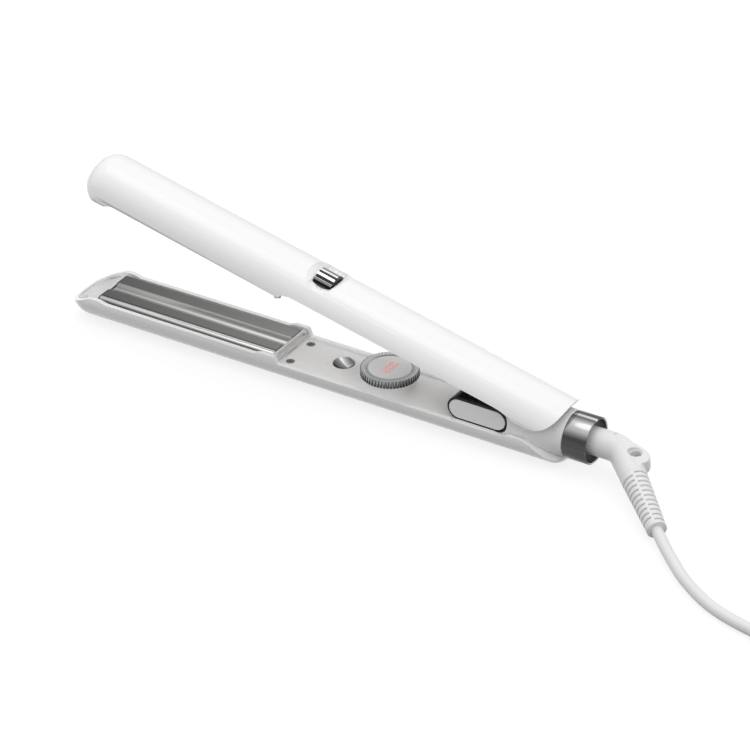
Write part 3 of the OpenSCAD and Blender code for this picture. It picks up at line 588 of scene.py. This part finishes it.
# a plate with rounded long edges, a groove above and a pocket for its heater; turned for the upper arm
def heatPlate(name, turned):
    q = plateSettings
    length, middle = q["back"] - q["front"], (q["front"] + q["back"]) / 2
    bpy.ops.mesh.primitive_cube_add(size=1, location=(middle, 0, (q["top"] + q["bottom"]) / 2),
                                    scale=(length, 2 * q["halfWidth"], q["top"] - q["bottom"]))
    piece = bpy.context.object
    piece.name = name + "_brushed"
    bpy.ops.object.transform_apply(location=True, scale=True)
    bpy.ops.object.mode_set(mode="EDIT")
    bpy.ops.mesh.select_all(action="DESELECT")
    mesh = bmesh.from_edit_mesh(piece.data)
    for e in mesh.edges:
        a, b = e.verts[0].co, e.verts[1].co
        e.select_set(abs(a.x - b.x) > 0.01 and min(a.z, b.z) > q["top"] - 0.0001)
    bmesh.update_edit_mesh(piece.data)
    bpy.ops.mesh.bevel(offset=q["edgeRound"], segments=7)
    bpy.ops.object.mode_set(mode="OBJECT")
    w, d = q["grooveWidth"], q["grooveDepth"]
    r = w * w / 8 / d + d / 2
    bpy.ops.mesh.primitive_cylinder_add(vertices=96, radius=r, depth=length + q["overrun"],
                                        location=(middle, 0, q["top"] + r - d), rotation=(0, math.pi / 2, 0))
    cutWith(piece, bpy.context.object)
    bpy.ops.mesh.primitive_cube_add(size=1, location=(middle, 0, q["bottom"]),
                                    scale=(length + q["overrun"], q["heaterWidth"], q["heaterHeight"]))
    cutWith(piece, bpy.context.object)
    shapeWith(piece, "BEVEL", width=q["edgeSoft"], segments=2, angle_limit=math.radians(40))
    bpy.ops.object.shade_smooth_by_angle(angle=math.radians(25))
    if turned:
        place = Vector(hingeSettings["place"])
        level = Vector((0, 0, hingeSettings["closedPlates"]))
        opening = Matrix.Rotation(math.radians(hingeSettings["open"]), 4, "Y")
        piece.data.transform(Matrix.Translation(place) @ opening
                             @ Matrix.Translation(-place) @ Matrix.Translation(level)
                             @ Matrix.Rotation(math.pi, 4, "X") @ Matrix.Translation(-level))
    piece.data.materials.append(finishes[wears[name]].material)
    standFor(piece, name)


heatPlate("lower_plate", False)
heatPlate("upper_plate", True)

pickOnly(*nodes.values())
bpy.ops.object.shade_smooth_by_angle(angle=math.radians(32))
bpy.ops.object.select_all(action="DESELECT")

print("stage: floor and light")
stageSettings = {"floorSize": 1.6, "floorDrop": 0.0002, "floorSeen": 0.24, "floorGlow": 0.80,
                 "floorBounce": 0.22, "keyPlace": (-0.3, -0.2, 1.6), "keySize": 0.8, "keyPower": 1.2,
                 "sky": [(0.0, 0.6), (0.3, 0.7), (0.6, 0.9), (0.85, 1.2), (1.0, 1.4)]}
bpy.ops.mesh.primitive_plane_add(size=stageSettings["floorSize"], location=(0, 0, -stageSettings["floorDrop"]))
floor = bpy.context.object
floor.name = "floor"
bpy.ops.object.transform_apply(location=True)
floorWhite = Finish("floorWhite")
# rays from the camera, glossy ones and those that pass through glass see the pale floor
cameraRay, glossyRay, throughRay = [floorWhite.node("LightPath", output=i) for i in (0, 3, 6)]
seen = (cameraRay + glossyRay + throughRay).clamped()
floorTone = floorWhite.mix(seen, grey(stageSettings["floorBounce"]), grey(stageSettings["floorSeen"]))
floorWhite.set(Base_Color=floorTone, Roughness=1.0, Emission_Color=grey(1.0),
               Emission_Strength=seen * stageSettings["floorGlow"])
floorWhite.surface.inputs["Specular IOR Level"].default_value = 0.0
floor.data.materials.append(floorWhite.material)

world = bpy.data.worlds.new("world")
bpy.context.scene.world = world
world.use_nodes = True
sky = world.node_tree
skyDirection = sky.nodes.new("ShaderNodeTexCoord")
skyParts = sky.nodes.new("ShaderNodeSeparateXYZ")
skyRamp = sky.nodes.new("ShaderNodeValToRGB")
while len(skyRamp.color_ramp.elements) < len(stageSettings["sky"]):
    skyRamp.color_ramp.elements.new(0.5)
topLevel = stageSettings["sky"][-1][1]
for element, (place, level) in zip(skyRamp.color_ramp.elements, stageSettings["sky"]):
    element.position, element.color = place, grey(level / topLevel)
sky.links.new(skyDirection.outputs["Generated"], skyParts.inputs[0])
sky.links.new(skyParts.outputs[2], skyRamp.inputs[0])
sky.links.new(skyRamp.outputs[0], sky.nodes["Background"].inputs[0])
sky.nodes["Background"].inputs[1].default_value = topLevel
# the camera sees plain white behind the floor
backdrop = sky.nodes.new("ShaderNodeBackground")
backdrop.inputs[0].default_value = grey(1.0)
skyRay = sky.nodes.new("ShaderNodeLightPath")
skyMix = sky.nodes.new("ShaderNodeMixShader")
sky.links.new(skyRay.outputs["Is Camera Ray"], skyMix.inputs[0])
sky.links.new(sky.nodes["Background"].outputs[0], skyMix.inputs[1])
sky.links.new(backdrop.outputs[0], skyMix.inputs[2])
sky.links.new(skyMix.outputs[0], sky.nodes["World Output"].inputs[0])

keyLight = bpy.data.objects.new("keyLight", bpy.data.lights.new("keyLight", "AREA"))
keyLight.data.shape, keyLight.data.size = "DISK", stageSettings["keySize"]
keyLight.data.energy = stageSettings["keyPower"]
bpy.context.scene.collection.objects.link(keyLight)
keyLight.location = stageSettings["keyPlace"]
keyLight.rotation_euler = (-Vector(stageSettings["keyPlace"])).to_track_quat("-Z", "Y").to_euler()

bpy.context.scene.view_settings.view_transform = "Standard"
print("done")
